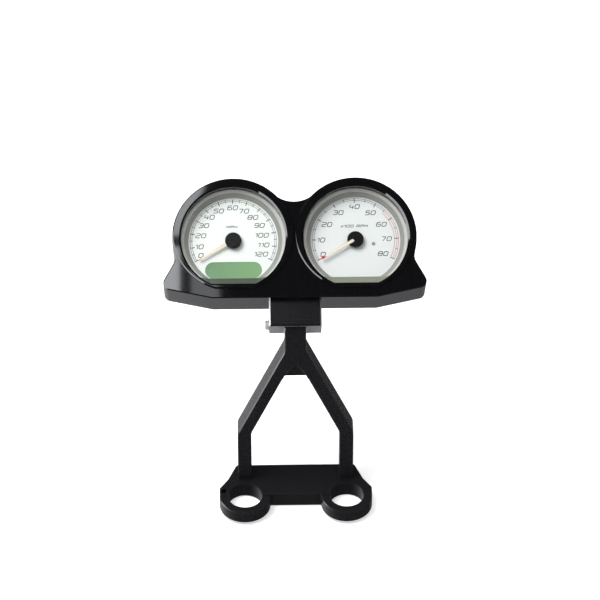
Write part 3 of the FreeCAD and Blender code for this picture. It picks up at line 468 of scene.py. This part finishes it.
def pointer_paint(gauge, tip_start, tip_colour):
    material, tree, shader, place = start(f"{gauge}_pointer_enamel", IOR=1.5)
    offset = add(tree, "VectorMath", {0: place, 1: hubs[gauge]}, operation="SUBTRACT")
    from_hub = offset.outputs["Vector"]
    run = add(tree, "VectorMath", {0: from_hub, 1: along}, operation="DOT_PRODUCT")
    side = add(tree, "VectorMath", {0: from_hub, 1: sideways}, operation="DOT_PRODUCT")
    aside = add(tree, "Math", {0: side.outputs["Value"]}, operation="ABSOLUTE")
    edge = add(tree, "MapRange", {"Value": aside.outputs["Value"], "From Min": EDGE_STARTS * MM,
                                  "From Max": EDGE_ENDS * MM})
    body = add(tree, "Mix", {"Factor": edge.outputs["Result"], "A": linear("#ece6d8"),
                             "B": linear("#d6c09f")}, data_type="RGBA")
    tip = add(tree, "MapRange", {"Value": run.outputs["Value"],
                                 "From Min": (tip_start - TIP_BEFORE) * MM,
                                 "From Max": (tip_start + TIP_AFTER) * MM})
    dipped = add(tree, "Mix", {"Factor": tip.outputs["Result"], "A": body.outputs["Result"],
                               "B": linear(tip_colour)}, data_type="RGBA")
    tree.links.new(dipped.outputs["Result"], shader.inputs["Base Color"])
    sheen = speckle(tree, place, size=0.5, low=0.35, high=0.5)
    tree.links.new(sheen, shader.inputs["Roughness"])
    return material


speedo_paint = pointer_paint("speedo", tip_start=31.5, tip_colour="#e2bdae")
tacho_paint = pointer_paint("tacho", tip_start=30.0, tip_colour="#d8232a")
print("pointers painted along", tuple(round(c, 3) for c in along))

# %% [markdown]
# ## Dress every CAD node
#
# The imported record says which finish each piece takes, as a parts list would, so one loop assigns
# them all, and `special` holds the few pieces that differ. CAD triangles arrive with every edge
# split, so a Weld joins them. On the large machined parts the triangles of a flat face are joined
# too, and a small Bevel breaks the sharp corners the way a tumbled part's are. Smooth shading is
# then split at real corners. Weighted normals let the large faces decide the shading of the small
# ones, which keeps the polished pod's reflections straight without more geometry.

# %% Assign finishes and soften the meshes
BROKEN_EDGES = {"mast": 0.3, "pivot_block": 0.2, "clamp_base": 0.25,
                "left_clamp_cap": 0.2, "right_clamp_cap": 0.2, "back_cover": 0.2}
WELD_GAP = 0.002
FLAT, CORNER, SHARP = math.radians(0.5), math.radians(24), math.radians(30)


def dress(node, finish):
    piece = nodes[node]
    piece.data.materials.clear()
    piece.data.materials.append(finish)
    piece.data.shade_smooth()
    weld = piece.modifiers.new("weld", "WELD")
    weld.merge_threshold = WELD_GAP * MM
    if node in BROKEN_EDGES:
        flat_faces = piece.modifiers.new("join flat faces", "DECIMATE")
        flat_faces.decimate_type = "DISSOLVE"
        flat_faces.angle_limit = FLAT
        edge = piece.modifiers.new("break edges", "BEVEL")
        edge.width = BROKEN_EDGES[node] * MM
        edge.segments = 2
        edge.limit_method = "ANGLE"
        edge.angle_limit = SHARP
        edge.harden_normals = True
    split = piece.modifiers.new("split corners", "EDGE_SPLIT")
    split.split_angle = CORNER
    level = piece.modifiers.new("flat faces first", "WEIGHTED_NORMAL")
    level.keep_sharp = True


slots = {part["node"]: part["material_slot"] for part in frame["record"]["subparts"]}
special = {"pod_shell": polished, "pivot_block": two_colour, "tilt_bolt": bright_zinc,
           "bolt_washer": bright_zinc, "tacho_dial": tacho_white,
           "speedo_pointer": speedo_paint, "tacho_pointer": tacho_paint}
for node, slot_name in slots.items():
    dress(node, special[node] if node in special else finishes[slot_name])
print(len(slots), "nodes dressed,", len(BROKEN_EDGES), "with broken edges")

# %% [markdown]
# ## Screen-printed ink
#
# The scales are ink pressed through a screen, a film thick enough to feel. They could be painted by
# a texture, but the numerals would then blur, so each line is a thin closed ribbon that lies on the
# dial. A ribbon follows a list of flat points in millimetres from the hub, with mitred corners.

# %% Ribbons of ink
# how far the ink's underside and its top stand off the dial
INK_FOOT, INK_TOP = 0.005, 0.06
# a corner sharper than this is cut short, or its mitre would grow into a spike
SHARPEST_MITRE = 0.35


def put(name, data):
    """A new object in the scene that holds the data."""
    holder = bpy.data.objects.new(name, data)
    bpy.context.scene.collection.objects.link(holder)
    return holder


def offset_rails(points, width, closed):
    """The left and right edges of a ribbon through the points."""
    count = len(points)
    rails = []
    for i, here in enumerate(points):
        ways = []
        if closed or i > 0:
            ways.append((here - points[i - 1]).normalized())
        if closed or i < count - 1:
            ways.append((points[(i + 1) % count] - here).normalized())
        normals = [Vector((-way.y, way.x)) for way in ways]
        middle = sum(normals, Vector((0, 0))).normalized()
        mitre = middle * (width / 2 / max(middle.dot(normals[0]), SHARPEST_MITRE))
        rails.append((here + mitre, here - mitre))
    return rails


def add_ribbon(mesh, origin, points, width, closed=False):
    """Adds one closed ribbon of ink to a bmesh; origin lies on the dial's surface."""
    rings = []
    for left, right in offset_rails([Vector(point) for point in points], width, closed):
        corners = [(left, INK_FOOT), (right, INK_FOOT), (right, INK_TOP), (left, INK_TOP)]
        rings.append([
            mesh.verts.new(origin + (RIGHT * flat.x + UP * flat.y + OUT * lift) * MM)
            for flat, lift in corners])
    pairs = list(zip(rings, rings[1:] + rings[:1] if closed else rings[1:]))
    for here, ahead in pairs:
        for i in range(4):
            j = (i + 1) % 4
            mesh.faces.new((here[i], here[j], ahead[j], ahead[i]))
    if not closed:
        mesh.faces.new(rings[0][::-1])
        mesh.faces.new(rings[-1])


def polar(radius, degrees):
    """A flat point at a radius and a turn from the right, against the clock."""
    turn = math.radians(degrees)
    return (radius * math.cos(turn), radius * math.sin(turn))


def arc_points(radius, start_angle, end_angle, step=3.0):
    """Points along an arc, about every step degrees."""
    count = max(2, round(abs(end_angle - start_angle) / step))
    return [polar(radius, start_angle + (end_angle - start_angle) * i / count)
            for i in range(count + 1)]


def finish_print(mesh, name, ink):
    """Turns the ribbons into one printed piece that rides on the pod."""
    bmesh.ops.recalc_face_normals(mesh, faces=mesh.faces)
    data = bpy.data.meshes.new(name)
    mesh.to_mesh(data)
    mesh.free()
    data.materials.append(ink)
    piece = put(name, data)
    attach(piece, "pod")
    print(name, len(data.polygons), "faces")


grey_ink = moulding("dark_grey_screen_ink", "#1a1a1d", "#242428",
                    roughness=0.6, grain=0.25, depth=0.001)
red_ink = moulding("red_screen_ink", "#b8323c", "#c43e47",
                   roughness=0.6, grain=0.25, depth=0.001)
print("ink stands", INK_TOP, "mm high")

# %% [markdown]
# ## Numerals
#
# The numerals are wide, squared and slanted. Each character is drawn as up to three pen strokes in
# a unit box, then rounded at its corners, stretched and leant over. A type designer would draw
# outlines; pen strokes need far fewer points and give the even line weight that small dials use.

# %% Pen strokes of the numerals and the unit names
GLYPHS = {
    "0": [("loop", (0, 0), (1, 0), (1, 1), (0, 1))],
    "1": [("line", (0, 0.8), (1, 1), (1, 0))],
    "2": [("line", (0, 1), (1, 1), (1, 0.5), (0, 0.5), (0, 0), (1, 0))],
    "3": [("line", (0, 1), (1, 1), (1, 0), (0, 0)), ("line", (0.25, 0.5), (1, 0.5))],
    "4": [("line", (0.1, 1), (0, 0.35), (1, 0.35)), ("line", (0.8, 0.75), (0.8, 0))],
    "5": [("line", (1, 1), (0, 1), (0, 0.55), (1, 0.55), (1, 0), (0, 0))],
    "6": [("line", (0.9, 1), (0, 1), (0, 0), (1, 0), (1, 0.55), (0, 0.55))],
    "7": [("line", (0, 1), (1, 1), (0.45, 0))],
    "8": [("loop", (0, 0), (1, 0), (1, 1), (0, 1)), ("line", (0, 0.52), (1, 0.52))],
    "9": [("line", (0.1, 0), (1, 0), (1, 1), (0, 1), (0, 0.45), (1, 0.45))],
    "m": [("line", (0, 0), (0, 1), (0.5, 0.35), (1, 1), (1, 0))],
    "p": [("line", (0, 0), (0, 1), (1, 1), (1, 0.45), (0, 0.45))],
    "r": [("line", (0, 0), (0, 1), (1, 1), (1, 0.45), (0, 0.45)), ("line", (0.5, 0.45), (1, 0))],
    "h": [("line", (0, 0), (0, 1)), ("line", (1, 0), (1, 1)), ("line", (0, 0.5), (1, 0.5))],
    "x": [("line", (0, 0), (1, 0.75)), ("line", (0, 0.75), (1, 0))],
    " ": [],
}
# widths of the narrow characters, as shares of the full width
NARROW = {"1": 0.45, " ": 0.45, "x": 0.8}
# the lean and the corner radius as shares of the height, and the most of a stroke a corner takes
SLANT, ROUNDING, LONGEST_CUT = 0.28, 0.28, 0.4
# the gap between characters, in line weights
GAP_IN_WEIGHTS = 2.2


def rounded(points, closed, radius):
    """The same pen path with each corner cut into two short steps."""
    path = []
    count = len(points)
    for i, here in enumerate(points):
        if not closed and i in (0, count - 1):
            path.append(here)
            continue
        back, ahead = points[i - 1] - here, points[(i + 1) % count] - here
        enter = here + back.normalized() * min(radius, back.length * LONGEST_CUT)
        leave = here + ahead.normalized() * min(radius, ahead.length * LONGEST_CUT)
        path += [enter, (enter + leave + here * 2) / 4, leave]
    return path


def text_width(text, width, weight):
    """How wide a text is from its first character to its last."""
    gap = weight * GAP_IN_WEIGHTS
    return sum(NARROW.get(character, 1) * width + gap for character in text) - gap


def write(mesh, origin, text, middle, height, width, weight):
    """Writes text centred on a flat point, upright on the dial."""
    x = middle[0] - text_width(text, width, weight) / 2
    for character in text:
        wide = NARROW.get(character, 1) * width
        for kind, *stroke in GLYPHS[character]:
            points = [Vector((x + px * wide + SLANT * (py - 0.5) * height,
                              middle[1] + (py - 0.5) * height)) for px, py in stroke]
            closed = kind == "loop"
            path = rounded(points, closed, height * ROUNDING)
            add_ribbon(mesh, origin, path, weight, closed)
        x += wide + weight * GAP_IN_WEIGHTS


print(len(GLYPHS), "glyphs")

# %% [markdown]
# ## The two scales
#
# Both scales sweep from lower left to lower right over the top: miles per hour in tens up to 120,
# and engine speed in hundreds up to 80. Each has a double outer line, long ticks at the numbers and
# short ones between. Every tick could be copied and turned by hand; one function that knows the
# angle of a value prints both scales. A number stands just inside its tick, so a wide number moves
# further in at the sides than at the top. The engine scale ends in red lines from 55 up.

# %% Angles and places, in degrees and millimetres from the hub
FIRST_ANGLE, SWEEP = 208.3, 235.3
OUTER, INNER, TICK_FOOT, SHORT_FOOT = 36.8, 35.3, 33.2, 34.6
TICK_TOP = OUTER + 0.3
LINE, LONG_TICK, SHORT_TICK, RED_LINE = 0.28, 0.6, 0.4, 0.32
DIGIT_HEIGHT, DIGIT_WIDTH, DIGIT_WEIGHT = 3.6, 3.5, 0.56
NUMBER_STEP, SPEEDO_TOP, TACHO_TOP, RED_START = 10, 120, 80, 55
RED_RADII = (33.4, INNER, OUTER)

# numbers end at this radius and sit a little left of their place
LABEL_REACH, LABEL_SHIFT = 31.6, 0.9
# the zero stands above its tick, clear of the needle at rest
ZERO_LABEL_ANGLE = 203.5
# a few speeds stand this much to the right of their place
NUDGES = {("speedo", 30): -0.9, ("speedo", 40): -2.2, ("speedo", 50): -2.3, ("speedo", 120): 1.2}
print("scales sweep", SWEEP, "degrees")


# %% Scale, numbers and ticks
def angle_of(value, top):
    return FIRST_ANGLE - SWEEP * value / top


def number_place(gauge, value, top):
    """The flat point in the middle of a number."""
    turn = angle_of(value, top) if value else ZERO_LABEL_ANGLE
    half_width = text_width(str(value), DIGIT_WIDTH, DIGIT_WEIGHT) / 2
    c, s = polar(1, turn)
    reach = LABEL_REACH - LABEL_SHIFT * c - half_width * abs(c) - DIGIT_HEIGHT / 2 * abs(s)
    x, y = polar(reach, turn)
    return x + NUDGES.get((gauge, value), 0), y


def make_scale(gauge, top, red_from):
    """The grey ink of one scale, and the point on the dial that it is measured from."""
    origin = on_face(gauge, front(f"{gauge}_dial"))
    ink = bmesh.new()
    for radius in (OUTER, INNER):
        add_ribbon(ink, origin, arc_points(radius, FIRST_ANGLE, angle_of(red_from, top)), LINE)
    for half_step in range(2 * top // NUMBER_STEP + 1):
        between = half_step % 2
        turn = angle_of(half_step * NUMBER_STEP / 2, top)
        foot = SHORT_FOOT if between else TICK_FOOT
        add_ribbon(ink, origin, [polar(TICK_TOP, turn), polar(foot, turn)],
                   SHORT_TICK if between else LONG_TICK)
    for value in range(0, top + 1, NUMBER_STEP):
        write(ink, origin, str(value), number_place(gauge, value, top),
              DIGIT_HEIGHT, DIGIT_WIDTH, DIGIT_WEIGHT)
    return ink, origin


speedo_ink, speedo_origin = make_scale("speedo", SPEEDO_TOP, SPEEDO_TOP)
write(speedo_ink, speedo_origin, "mph", middle=(-1.2, 12.8), height=1.8, width=2.3, weight=0.42)
finish_print(speedo_ink, "speedo_scale_print", grey_ink)

tacho_ink, tacho_origin = make_scale("tacho", TACHO_TOP, RED_START)
write(tacho_ink, tacho_origin, "x100 rpm", middle=(-0.8, 12.6), height=2.0, width=2.4, weight=0.42)
finish_print(tacho_ink, "tacho_scale_print", grey_ink)

red = bmesh.new()
for radius in RED_RADII:
    red_arc = arc_points(radius, angle_of(RED_START, TACHO_TOP), angle_of(TACHO_TOP, TACHO_TOP))
    add_ribbon(red, tacho_origin, red_arc, RED_LINE)
finish_print(red, "tacho_red_zone_print", red_ink)

# %% [markdown]
# ## Sleeping warning symbols
#
# Below the engine-speed hub sit warning symbols printed in a translucent ink. They only show when
# lit from behind; unlit they are faint tints on the white. Real ones are small icons. Here each is
# a ring with a bar, drawn with the same ribbons as the scales, so it stands for no maker's symbol.

# %% Faint symbols
SYMBOLS = {"blue": (-8.5, "#d7deea", "#dfe6f2"), "green": (-1.5, "#dae7d8", "#e2efe0"),
           "amber": (5.5, "#ece4ce", "#f4ecd6"), "red": (12.0, "#ebd8d2", "#f3e0da")}
SYMBOL_LEVEL, SYMBOL_RADIUS, BAR_HALF, SYMBOL_LINE = -13.5, 1.1, 0.6, 0.4
RING_CORNERS = 12
for colour, (x, darker, lighter) in SYMBOLS.items():
    symbol = bmesh.new()
    ring = [(x + SYMBOL_RADIUS * c, SYMBOL_LEVEL + SYMBOL_RADIUS * s)
            for c, s in (polar(1, 360 / RING_CORNERS * k) for k in range(RING_CORNERS))]
    bar = [(x, SYMBOL_LEVEL - BAR_HALF), (x, SYMBOL_LEVEL + BAR_HALF)]
    add_ribbon(symbol, tacho_origin, ring, SYMBOL_LINE, closed=True)
    add_ribbon(symbol, tacho_origin, bar, SYMBOL_LINE)
    tint = moulding(f"translucent_{colour}_ink", darker, lighter,
                    roughness=0.55, grain=0.3, depth=0.001)
    finish_print(symbol, f"tacho_{colour}_symbol_print", tint)

# %% [markdown]
# ## Camera
#
# The camera stands three metres away, 40 degrees up and a hair to the left of centre. A nearer
# camera with a wider lens would frame the same object, but it would draw the dials out towards the
# sides. From this far the perspective is nearly flat, so both dials keep the same shape.

# %% Camera
AZIMUTH, ELEVATION = math.radians(-0.9), math.radians(40)
DISTANCE, FIELD, SEES_TO = 3.0, math.radians(9.71), 100
# the camera looks at a point a little above and behind the tilt bolt
aim = Vector((0.0042, 0.04, 0.2031))
toward = Vector((math.sin(AZIMUTH) * math.cos(ELEVATION), -math.cos(AZIMUTH) * math.cos(ELEVATION),
                 math.sin(ELEVATION)))
camera = put("camera", bpy.data.cameras.new("camera"))
camera.data.angle = FIELD
camera.data.clip_end = SEES_TO
camera.location = aim + toward * DISTANCE
camera.rotation_euler = (-toward).to_track_quat("-Z", "Y").to_euler()
bpy.context.scene.camera = camera
print("camera at", tuple(round(c, 3) for c in camera.location))

# %% [markdown]
# ## Floor
#
# The object stands on a white paper sweep. Plain paper would carry a grey shadow under the clamps,
# so the sheet also glows a little, like a light table. Mirror rays pass through it, and the metal's
# undersides mirror the light side of the sky instead.

# %% Floor
FLOOR_SIZE, FLOOR_GAP, FLOOR_GLOW = 14.0, 0.001, 0.5
half = FLOOR_SIZE / 2
floor_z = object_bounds()[0][2] - FLOOR_GAP
floor_mesh = bpy.data.meshes.new("floor")
floor_mesh.from_pydata([(-half, -half, floor_z), (half, -half, floor_z), (half, half, floor_z),
                        (-half, half, floor_z)], [], [(0, 1, 2, 3)])
floor = put("floor", floor_mesh)
sweep = moulding("matt_paper_sweep", "#f6f6f5", "#fafafa", roughness=0.9, grain=3.0, depth=0.001)
paper = sweep.node_tree.nodes["Principled BSDF"]
paper.inputs["Emission Color"].default_value = linear("#ffffff")
paper.inputs["Emission Strength"].default_value = FLOOR_GLOW
floor_mesh.materials.append(sweep)
floor.visible_glossy = False
print("floor at", round(floor_z / MM, 2), "mm")

# %% [markdown]
# ## Sky and lamp
#
# The sky gives plain soft light, and one broad lamp above left throws the soft shadows of the rings
# and hubs on the dials. Black gloss shows only what it mirrors, so mirror rays see another sky. It
# is dark in front, and light behind, below and to the left, where the metal's sides look. One sky
# for both would either grey the pod or starve the dials. The camera itself sees plain white.

# %% Sky
BRIGHT_SIDE = Vector((-0.55, 0.60, -0.58)).normalized()
SKY_STOPS = ((0.35, (0.035, 0.035, 0.038, 1)), (0.75, (0.26, 0.26, 0.27, 1)),
             (1.0, (0.6, 0.6, 0.61, 1)))
SOFT_LIGHT, MIRRORED, BACKDROP = 0.55, 1.0, 1.0
world = bpy.data.worlds.new("studio")
bpy.context.scene.world = world
world.use_nodes = True
tree = world.node_tree
tree.nodes.clear()
direction = add(tree, "TexCoord").outputs["Generated"]
lean = add(tree, "VectorMath", {0: direction, 1: BRIGHT_SIDE}, operation="DOT_PRODUCT")
ramp = add(tree, "ValToRGB", {"Fac": lean.outputs["Value"]})
stops = ramp.color_ramp.elements
stops.new(0.5)
for stop, (position, grey) in zip(stops, SKY_STOPS):
    stop.position = position
    stop.color = grey
mirrored = add(tree, "Background", {"Color": ramp.outputs["Color"], "Strength": MIRRORED})
plain = add(tree, "Background", {"Color": (1, 1, 1, 1), "Strength": SOFT_LIGHT})
backdrop = add(tree, "Background", {"Color": (1, 1, 1, 1), "Strength": BACKDROP})
rays = add(tree, "LightPath")
lit = add(tree, "MixShader", {"Fac": rays.outputs["Is Glossy Ray"],
                              1: plain.outputs["Background"], 2: mirrored.outputs["Background"]})
seen = add(tree, "MixShader", {"Fac": rays.outputs["Is Camera Ray"],
                               1: lit.outputs["Shader"], 2: backdrop.outputs["Background"]})
add(tree, "OutputWorld", {"Surface": seen.outputs["Shader"]})
print("sky strength", SOFT_LIGHT)

# %% Key lamp
LAMP_DISTANCE, LAMP_SIZE, LAMP_WATTS = 2.2, 1.4, 60
light = bpy.data.lights.new("key_lamp", "AREA")
light.size = LAMP_SIZE
light.energy = LAMP_WATTS
key = put("key_lamp", light)
# mostly straight out of the face, a little above it and to the left
from_face = OUT * 0.77 + UP * 0.45 - RIGHT * 0.45
key.location = centre + from_face.normalized() * LAMP_DISTANCE
key.rotation_euler = (-from_face).to_track_quat("-Z", "Y").to_euler()
key.visible_glossy = False
print("key lamp at", tuple(round(c, 2) for c in key.location), LAMP_WATTS, "W")

# %% [markdown]
# ## Cards for the gloss
#
# A polished black face looks flat until it mirrors something. Studios hang white cards where the
# face will mirror them into the lens, and move them by trial. Three of the cards here are worked
# out backwards: the corners of a wanted highlight, in millimetres on the face, are mirrored along
# the line of sight to a plane in front of the face. The fourth stands to the left, in the
# directions that the metal's left sides mirror. The cards are seen in reflections only.

# %% Reflection cards
CARD_DISTANCE, SIDE_DISTANCE = 0.5, 0.9
HIDDEN_FROM = ("camera", "diffuse", "transmission", "volume_scatter", "shadow")


def mirrored_spots(face_points):
    """Where the camera's lines of sight go after the face mirrors them at those points."""
    corners = []
    for x, y in face_points:
        point = centre + (RIGHT * x + UP * y) * MM
        sight = (point - camera.location).normalized()
        bounce = sight - OUT * 2 * sight.dot(OUT)
        corners.append(point + bounce * (CARD_DISTANCE / bounce.dot(OUT)))
    return corners


def card(name, corners, brightness):
    """A glowing sheet of paper that only mirror rays can see."""
    data = bpy.data.meshes.new(name)
    data.from_pydata(corners, [], [tuple(range(len(corners)))])
    glow = bpy.data.materials.new(f"{name}_paper")
    glow.use_nodes = True
    tree = glow.node_tree
    tree.nodes.clear()
    light = add(tree, "Emission", {"Color": linear("#f4f6fa"), "Strength": brightness})
    add(tree, "OutputMaterial", {"Surface": light.outputs["Emission"]})
    data.materials.append(glow)
    piece = put(name, data)
    for ray in HIDDEN_FROM:
        setattr(piece, f"visible_{ray}", False)
    print(name, "of brightness", brightness)


ring_spots = mirrored_spots([(-140, -2), (-97, 2), (-76, 44), (-90, 80), (-140, 80)])
corner_spots = mirrored_spots([(-140, -70), (-98, -70), (-97, -8), (-140, -8)])
panel_spots = mirrored_spots([(-88, -70), (-62, -70), (-66, -28), (-88, -18)])
left_wall_looks = [(-0.95, 0.28, 0.30), (-0.60, -0.72, -0.14), (-0.60, -0.70, -0.32),
                   (-0.90, -0.28, -0.40), (-0.76, 0.02, -0.76), (-0.90, 0.30, -0.35)]
side_spots = [centre + Vector(look).normalized() * SIDE_DISTANCE for look in left_wall_looks]
card("ring_card", ring_spots, brightness=4.5)
card("corner_card", corner_spots, brightness=5.5)
card("panel_card", panel_spots, brightness=1.8)
card("side_card", side_spots, brightness=5.0)

# %% [markdown]
# ## Colour output
#
# The Standard view shows colours as they were picked, where a film-like view would grey the white
# floor.

# %% View
bpy.context.scene.view_settings.view_transform = "Standard"
bpy.context.scene.view_settings.look = "None"
